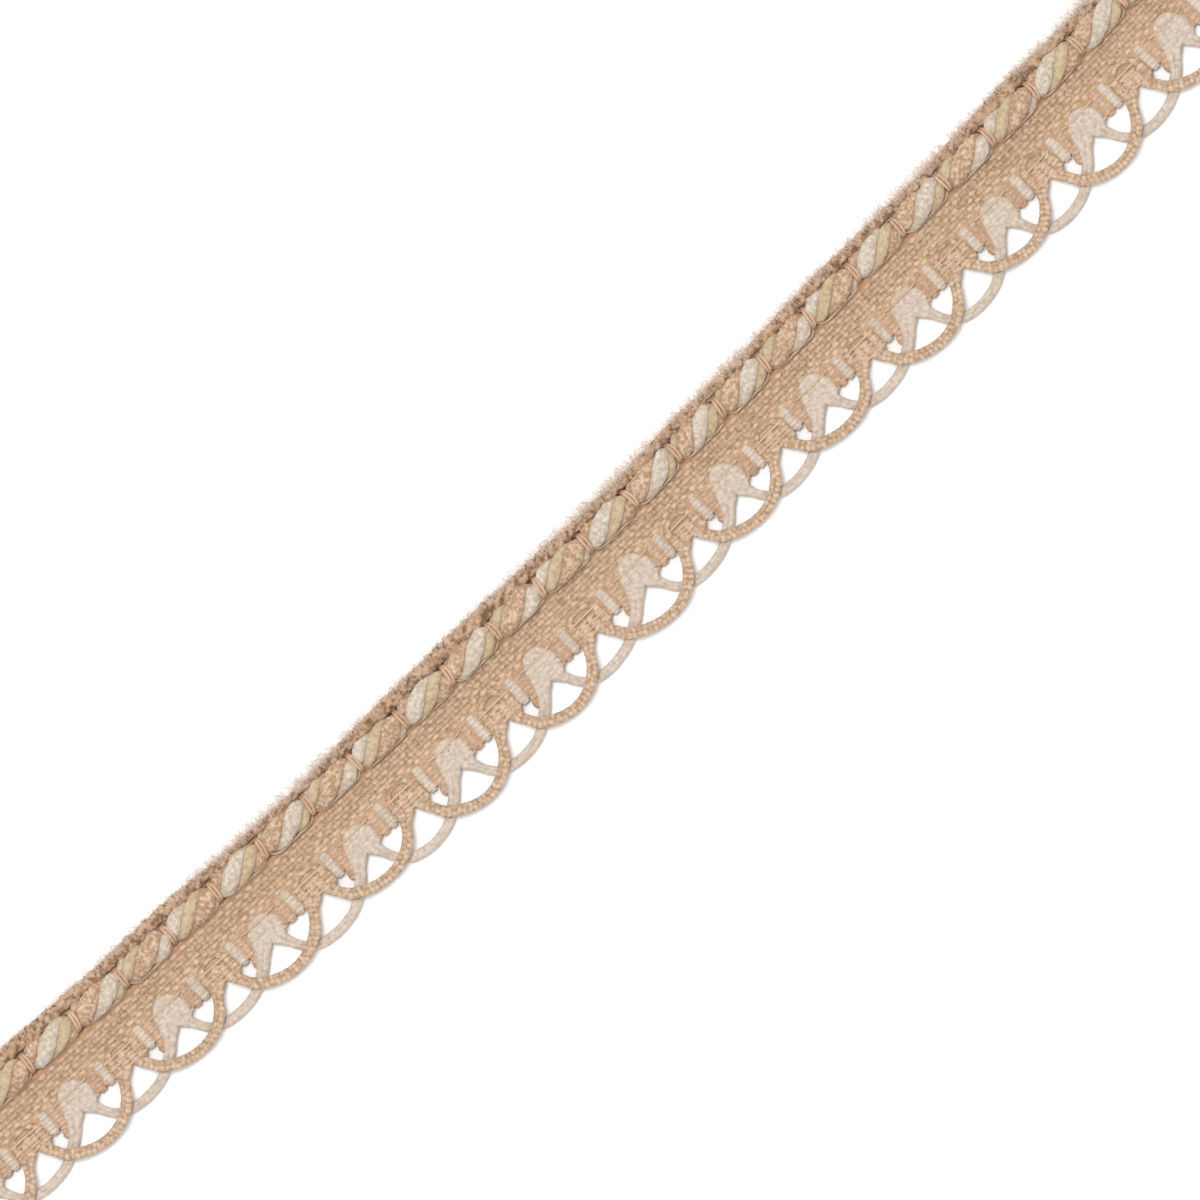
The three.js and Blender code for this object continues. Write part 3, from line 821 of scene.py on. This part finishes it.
def binders(finish):
    """Two threads over the heading cord at each tie, with their feet in the ground."""
    yarns = Yarns(7)
    first = TIE_OFFSET - math.floor((TIE_OFFSET + LENGTH / 2) / TIE_PITCH) * TIE_PITCH
    angle = np.linspace(0, np.pi, BINDER_POINTS)
    over = np.sin(angle)
    feet = [BINDER_FOOT, BINDER_KNEE]
    for along in np.arange(first, LENGTH / 2, TIE_PITCH):
        lean = yarns.random.uniform(*BINDER_LEAN)
        bow = yarns.random.uniform(*BINDER_BOW)
        for thread in (-1, 1):
            spread = thread * yarns.random.uniform(*BINDER_SPREAD)
            side = -np.cos(angle) * BINDER_REACH
            height = HEADING_HEIGHT + over * BINDER_RISE
            shift = bow * (over - 0.4) + spread * (0.55 + 0.45 * over**2)
            shift = shift + lean * side / TIED_HALF_WIDTH
            side = np.pad(side, 2, mode="edge")
            shift = np.pad(shift, 2, mode="edge")
            height = np.concatenate([feet, height, feet[::-1]])
            route = smooth(place(along + shift, heading_at(along) + side, height), BINDER_STEP)
            away = np.abs(route[:, 1] - np.mean(route[:, 1])) / BINDER_REACH
            yarns.add(
                route,
                BINDER_HALF_WIDTH,
                BINDER_HALF_HEIGHT,
                ply=(2, 0.2, 0.9, 0.25 * thread),
                # Painted shade that deepens down the legs towards the feet in the pits
                painted_light_share=np.clip(2.3 - 1.9 * away, 0.3, 1),
            )
    return yarns.build("binder_threads", finish)


# Straight cords


def heading_strand(name, finish, start, half_lobe, swell, ply, rough, seed):
    """One strand of the heading cord: a lobe of its oval, drawn in at each tie. start is its
    middle and half_lobe its half width, in degrees, and ply is (lobes, groove depth, lay)."""
    yarns = Yarns(seed)
    along = steps_along(STRAND_STEP)
    tied = tied_share(along)
    full = swell * uneven(yarns.random, along, 1.9, 0.02)
    wide = (mix(HEADING_HALF_WIDTH, TIED_HALF_WIDTH, tied) * full)[:, None]
    high = (mix(HEADING_HALF_HEIGHT, TIED_HALF_HEIGHT, tied) * full)[:, None]
    share = np.linspace(-1, 1, STRAND_CORNERS)
    angles = np.radians(share * half_lobe)
    bulge = np.pi / 3 * share
    lobe = STRAND_CENTRE * np.cos(bulge)
    lobe = lobe + np.sqrt(STRAND_SIZE**2 - (STRAND_CENTRE * np.sin(bulge)) ** 2)
    lobes, groove, lay = ply
    travelled = along - along[0]
    plies = np.abs(np.cos(np.pi * lobes * (share / 2 - travelled[:, None] / lay)))
    bumps = 1 - groove * (1 - plies) + rough * yarns.random.uniform(-1, 1, plies.shape)
    centre = np.zeros((len(along), 1))
    radius = np.hstack([lobe * bumps, centre])
    turned = np.radians(start) - 2 * np.pi * read_along(TWIST, "turns", along)
    turned = turned[:, None] + np.append(angles, 0)
    across = heading_at(along)[:, None] - np.sin(turned) * wide * radius
    height = HEADING_HEIGHT + np.cos(turned) * high * radius
    # Painted shade on the strand's two sides, under each tie and in its ply grooves
    groove_painted_light = np.append(1 - STRAND_SIDE_SHADE * np.abs(share) ** 4, 0)
    painted_light_share = (1 - STRAND_TIE_SHADE * tied)[:, None]
    painted_light_share = painted_light_share * groove_painted_light * np.hstack([bumps, centre + 1])
    yarns.add_rings(place(along[:, None], across, height), travelled, travelled / lay, painted_light_share)
    return yarns.build(name, finish, ["heading_cord"])


def side_filament(finish):
    """The thin filament along the heading cord's lower side, held by the ties."""
    yarns = Yarns(11)
    along = steps_along(FILAMENT_STEP)
    stray = FILAMENT_STRAY * (uneven(yarns.random, along, TIE_PITCH, 1.0) - 1)
    loose = HEADING_HALF_WIDTH - FILAMENT_INSET + stray
    across = heading_at(along) - mix(loose, TIED_HALF_WIDTH, tied_share(along))
    middles = place(along, across, HEADING_HEIGHT - FILAMENT_DROP)
    yarns.add(middles, FILAMENT_RADIUS, FILAMENT_RADIUS, ply=(2, 0.15, 0.8, 0.0))
    return yarns.build("side_filament", finish)


def edge_outside(along):
    return read_along(EDGE_OUTSIDE, "outside", along)


def edge_cord(finish):
    """Plies twisted round each other, between the heading cord's side and the trim's outside."""
    yarns = Yarns(12)
    along = steps_along(EDGE_STEP)
    inside = mix(EDGE_CORD_INSIDE, EDGE_CORD_TIED_INSIDE, tied_share(along))
    inside = inside - HEADING_MIDDLE + heading_at(along)
    outside = edge_outside(along)
    middle = (inside + outside) / 2
    half = (outside - inside) / 2
    for strand in range(EDGE_PLIES):
        turned = 2 * np.pi * (strand / EDGE_PLIES + along / EDGE_LAY)
        across = middle + np.sin(turned) * half * EDGE_PLY_ACROSS
        height = EDGE_CORD_HEIGHT + np.cos(turned) * EDGE_CORD_HALF_HEIGHT * EDGE_PLY_UP
        size = uneven(yarns.random, along, 0.5, 0.2) * EDGE_PLY_SIZE
        yarns.add(
            place(along, across, height),
            size * half,
            size * EDGE_CORD_HALF_HEIGHT,
            sides=10,
            ply=(2, 0.12, 1.3, strand * 0.3),
            rough=0.18,
        )
    return yarns.build("edge_cord_yarns", finish, ["edge_cord"])


def edge_fibres(finish):
    """Fine fibre that stands off the edge cord, more of it where the cord lies further in."""
    yarns = Yarns(13)
    random = yarns.random
    t = np.linspace(0, 1, FIBRE_POINTS)
    end = LENGTH / 2 - FIBRE_FREE_ENDS
    for along in random.uniform(-end, end, FIBRES):
        outside = edge_outside(along)
        further_in = max(FIBRE_OUTSIDE - outside, 0)
        if random.uniform() > FIBRE_SHARE + FIBRE_SHARE_FURTHER * further_in:
            continue
        reach = random.uniform() ** 2 * (FIBRE_REACH + FIBRE_REACH_FURTHER * further_in)
        root = outside - random.uniform(*FIBRE_ROOT)
        lean = random.uniform(*FIBRE_LEAN)
        curl = random.uniform(*FIBRE_CURL)
        across = mix(root, outside + reach, np.sin(t * FIBRE_BEND))
        start = EDGE_CORD_HEIGHT + random.uniform(*FIBRE_START)
        fall = random.uniform(*FIBRE_FALL)
        middles = place(along + lean * t + curl * t**2, across, start - fall * t)
        yarns.add(middles, FIBRE_RADIUS, FIBRE_RADIUS, sides=4)
    return yarns.build("edge_cord_fibres", finish)


# Gimp cords


def arch_rows(arch, middle, taller, lean):
    """A yarn's way up, over its arch and down: along, out, height, half width, half height and
    share in the band. Above its spring the arch is stretched by taller, below it leans."""
    rising = [(-row["along"], row["out"], row["half_width"]) for row in arch[:-1]]
    top = (0.0, arch[-1]["out"], arch[-1]["half_width"])
    falling = [(-along, out, half_width) for along, out, half_width in rising[::-1]]
    stretch = taller / (arch[-1]["out"] - ARCH_SPRING)
    rows = []
    for along, out, half_width in [*rising, top, *falling]:
        above = out - ARCH_SPRING
        if above > 0:
            out += above * stretch
        else:
            along += above * lean
        sizes = (half_width, GIMP_BAND_HALF_HEIGHT, 1.0)
        rows.append((middle + along, out, GIMP_BAND_MIDDLE, *sizes))
    return rows


def scallop_rows(scallop, side, drop):
    """The same columns for a yarn's side of the pair outside the band."""
    middles = np.array([[row["along"], row["out"]] for row in scallop])
    heading = unit(np.gradient(middles, axis=0))
    rows = []
    for row, (ahead_x, ahead_y) in zip(scallop, heading):
        away = side * row["apart"]
        along = row["along"] - ahead_y * away
        out = row["out"] * drop + ahead_x * away
        rows.append((along, out, row["height"], row["radius"], row["radius"], 0.0))
    return rows


def gimp_route(random, ivory, scallop, arch, side, first, lean):
    """A yarn's wave through every repeat and one past each end: its points, half width, half
    height and share in the band."""
    rows = []
    for n in range(-1, REPEATS + 1):
        loop = LOOPS[min(max(n, 0), REPEATS - 1)]
        crown = (n + 0.5 - REPEATS / 2) * REPEAT
        tan_stray = random.uniform(-TAN_ARCH_STRAY, TAN_ARCH_STRAY)
        taller = loop["crown"] if ivory else tan_stray
        drop = 1 - loop["ivory" if ivory else "tan"] / SCALLOP_DEPTH
        repeat = arch_rows(arch, first, taller, lean) + scallop_rows(scallop, side, drop)
        rows += [(crown + row[0], *row[1:]) for row in repeat]
    along, out, height, *sizes = np.array(rows).T
    points = place(along + shift_at(along), across_at(along, out), height)
    return smooth(np.column_stack([points, *sizes]), GIMP_STEP)


def gimp_yarns(name, slot, node, finish, scallop, arches, first, lean, shade, beads, seed):
    """One continuous wave of a pair of yarns, cut where the trim is cut.

    first is the place of the arch that comes before the scallop, from the crown's middle, shade
    is how much painted shade it gets in the band, most at the thin warp rows and on its sides,
    and beads is (length, depth) of the swellings outside the band, with painted shade in the
    necks between them, and the depth of the yarns' own twist."""
    yarns = Yarns(seed)
    ivory = slot == "ivory_gimp"
    for side, arch in zip((1, -1), arches):
        route = gimp_route(yarns.random, ivory, scallop, arch, side, first, lean)
        kept = np.abs(route[:, 0]) < LENGTH / 2
        cuts = np.flatnonzero(np.diff(kept.astype(int))) + 1
        for run, keep in zip(np.split(route, cuts), np.split(kept, cuts)):
            if not keep[0] or len(run) < FEWEST_RINGS:
                continue
            in_band = np.clip(run[:, 5], 0, 1)
            ribs = -np.cos(2 * np.pi * (out_at(run[:, 0], run[:, 1]) / THIN_PITCH - 0.5)) * in_band
            length, depth, groove = beads
            bead = np.cos(2 * np.pi * lengths_along(run[:, :3]) / length) * (1 - in_band)
            bead = depth * (bead - 1 + in_band)
            yarns.add(
                run[:, :3] + UP * (GIMP_RIB * ribs)[:, None],
                run[:, 3] * (1 + bead),
                run[:, 4] * (1 + bead),
                sides=10,
                ply=(2, groove, GIMP_PLY_LAY, 0.0),
                # Painted shade in the band, most at the thin warp rows and on the yarn's sides,
                # and in the necks between beads
                painted_light_share=1 - shade * in_band * (1 - ribs) + 2.5 * bead,
                side_shade=2 * shade * in_band,
                rough=0.04,
            )
    return yarns.build(name, finish, [node])


# Stage


def add_floor():
    mesh = bpy.data.meshes.new("floor")
    size = 6.0
    corners = [(-size, -size, 0), (size, -size, 0), (size, size, 0), (-size, size, 0)]
    mesh.from_pydata(corners, [], [(0, 1, 2, 3)])
    mesh.materials.append(plain_finish("pale floor", srgb(250, 250, 250), 0.9))
    floor = bpy.data.objects.new("floor", mesh)
    bpy.context.scene.collection.objects.link(floor)


def add_camera():
    """Straight down, with a long lens, so that the trim runs from corner to corner."""
    frame_width = 0.1306
    distance = 1.5
    aim = (0.00229, -0.00087)
    turned = -44.2
    camera = bpy.data.cameras.new("camera")
    camera.sensor_width = 36
    camera.lens = camera.sensor_width * distance / frame_width
    camera.clip_end = 20
    viewer = bpy.data.objects.new("camera", camera)
    viewer.location = (*aim, distance)
    viewer.rotation_euler = (0, 0, math.radians(turned))
    bpy.context.scene.collection.objects.link(viewer)
    bpy.context.scene.camera = viewer


def add_light(name, strength, size, distance, azimuth, elevation):
    """A soft square light, aimed at the trim. azimuth is from +X towards +Y."""
    lamp = bpy.data.lights.new(name, "AREA")
    lamp.energy = strength
    lamp.size = size
    light = bpy.data.objects.new(name, lamp)
    a, e = math.radians(azimuth), math.radians(elevation)
    direction = np.array([math.cos(a) * math.cos(e), math.sin(a) * math.cos(e), math.sin(e)])
    light.location = direction * distance
    light.rotation_euler = (math.pi / 2 - e, 0, a + math.pi / 2)
    bpy.context.scene.collection.objects.link(light)


def add_world(strength):
    world = bpy.data.worlds.new("studio")
    world.use_nodes = True
    background = world.node_tree.nodes["Background"]
    background.inputs["Color"].default_value = WHITE
    background.inputs["Strength"].default_value = strength
    bpy.context.scene.world = world


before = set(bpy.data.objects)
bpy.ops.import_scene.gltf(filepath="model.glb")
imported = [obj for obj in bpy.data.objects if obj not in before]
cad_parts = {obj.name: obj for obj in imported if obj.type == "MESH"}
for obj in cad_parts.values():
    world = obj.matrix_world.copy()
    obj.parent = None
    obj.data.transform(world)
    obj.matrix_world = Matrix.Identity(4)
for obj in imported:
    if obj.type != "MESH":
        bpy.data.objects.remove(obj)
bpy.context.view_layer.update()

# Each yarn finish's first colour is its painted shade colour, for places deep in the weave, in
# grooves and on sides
tan_warp = yarn_finish(
    "tan warp",
    painted_shade=srgb(166, 134, 104),
    dark=srgb(184, 152, 122),
    light=srgb(216, 187, 158),
    fleck=srgb(226, 200, 174),
    mottle=2000.0,
    contrast=1.8,
)
tan_weft = yarn_finish(
    "tan weft",
    painted_shade=srgb(158, 126, 98),
    dark=srgb(170, 139, 110),
    light=srgb(200, 170, 141),
    fleck=srgb(214, 186, 160),
    mottle=2000.0,
    contrast=1.8,
)
thin_warp = yarn_finish(
    "thin warp",
    painted_shade=srgb(174, 140, 110),
    dark=srgb(194, 160, 130),
    light=srgb(216, 186, 158),
    fleck=srgb(228, 202, 178),
)
brown_weave = yarn_finish(
    "pink brown weave",
    painted_shade=srgb(162, 126, 98),
    dark=srgb(176, 142, 114),
    light=srgb(206, 174, 148),
    fleck=srgb(220, 190, 166),
    mottle=2000.0,
    contrast=1.8,
)
binder_pink = yarn_finish(
    "binder pink",
    painted_shade=srgb(160, 112, 76),
    dark=srgb(192, 152, 122),
    light=srgb(216, 180, 152),
    fleck=srgb(228, 198, 174),
)
ivory_yarn = yarn_finish(
    "ivory yarn",
    painted_shade=srgb(176, 156, 136),
    dark=srgb(188, 171, 154),
    light=srgb(214, 199, 184),
    fleck=srgb(225, 212, 202),
    mottle=2000.0,
    contrast=1.6,
    sheen=0.4,
)
tan_gimp = yarn_finish(
    "tan gimp",
    painted_shade=srgb(142, 108, 80),
    dark=srgb(178, 145, 115),
    light=srgb(214, 188, 162),
    fleck=srgb(228, 207, 186),
    plies=0.15,
    mottle=2200.0,
    contrast=2.0,
)
heading_ivory = yarn_finish(
    "heading ivory",
    painted_shade=srgb(170, 144, 118),
    dark=srgb(190, 172, 150),
    light=srgb(222, 211, 197),
    fleck=srgb(230, 222, 217),
    mottle=2100.0,
    contrast=1.8,
    rib=(3.6, 1.0),
    sheen=0.4,
)
heading_gold = yarn_finish(
    "heading gold",
    painted_shade=srgb(156, 126, 92),
    dark=srgb(182, 156, 122),
    light=srgb(210, 188, 152),
    fleck=srgb(222, 204, 176),
    mottle=2000.0,
    contrast=1.6,
    rib=(0.12, 14.0),
    rough=0.7,
)
heading_tan = yarn_finish(
    "heading tan",
    painted_shade=srgb(152, 116, 86),
    dark=srgb(172, 138, 108),
    light=srgb(212, 183, 154),
    fleck=srgb(230, 206, 184),
    flecked=0.6,
    mottle=2300.0,
    contrast=2.2,
    bump=0.0001,
)
edge_brown = yarn_finish(
    "edge brown",
    painted_shade=srgb(112, 80, 56),
    dark=srgb(126, 94, 68),
    light=srgb(192, 158, 128),
    fleck=srgb(218, 188, 164),
    flecked=0.55,
    mottle=1700.0,
    contrast=2.2,
    bump=0.0001,
    grain=2100.0,
)
pale_fibre = plain_finish("pale fibre", srgb(226, 206, 190), 0.9)

cloth = ground_core(ground_core_finish())
yarn_pieces = [
    *upper_weave(tan_warp, tan_weft),
    lower_warps(thin_warp),
    weft_columns("ivory_weft_bars", ivory_yarn, BAR_COLUMN, tail=0.0, seed=5),
    weft_columns("brown_weft_bars", brown_weave, PLAIN_COLUMN, tail=PLAIN_COLUMN_TAIL, seed=6),
    binders(binder_pink),
    heading_strand(
        "heading_ivory",
        heading_ivory,
        start=0,
        half_lobe=62,
        swell=1.02,
        ply=(3, 0.05, 2.6),
        rough=0.03,
        seed=8,
    ),
    heading_strand(
        "heading_gold",
        heading_gold,
        start=106,
        half_lobe=44,
        swell=0.97,
        ply=(5, 0.03, 6.0),
        rough=0.015,
        seed=9,
    ),
    heading_strand(
        "heading_tan",
        heading_tan,
        start=224,
        half_lobe=74,
        swell=1.0,
        ply=(3, 0.09, 1.6),
        rough=0.045,
        seed=10,
    ),
    side_filament(thin_warp),
    edge_cord(edge_brown),
    edge_fibres(pale_fibre),
    gimp_yarns(
        "tan_gimp_yarns",
        slot="tan_gimp",
        node="tan_gimp_cord",
        finish=tan_gimp,
        scallop=TAN_SCALLOP,
        arches=(TAN_WIDE_ARCH, TAN_SMALL_ARCH),
        first=-REPEAT / 2,
        lean=0.0,
        shade=0.17,
        beads=(0.6, 0.06, 0.07),
        seed=14,
    ),
    gimp_yarns(
        "ivory_gimp_yarns",
        slot="ivory_gimp",
        node="ivory_gimp_cord",
        finish=ivory_yarn,
        scallop=IVORY_SCALLOP,
        arches=(CROWN_WIDE_ARCH, CROWN_SMALL_ARCH),
        first=0.0,
        lean=CROWN_LEAN,
        shade=0.11,
        beads=(0.8, 0.02, 0.04),
        seed=15,
    ),
]

add_floor()
add_camera()
add_world(strength=0.67)
add_light("key light", strength=16.0, size=0.6, distance=1.6, azimuth=98, elevation=74)
bpy.context.scene.view_settings.view_transform = "Standard"
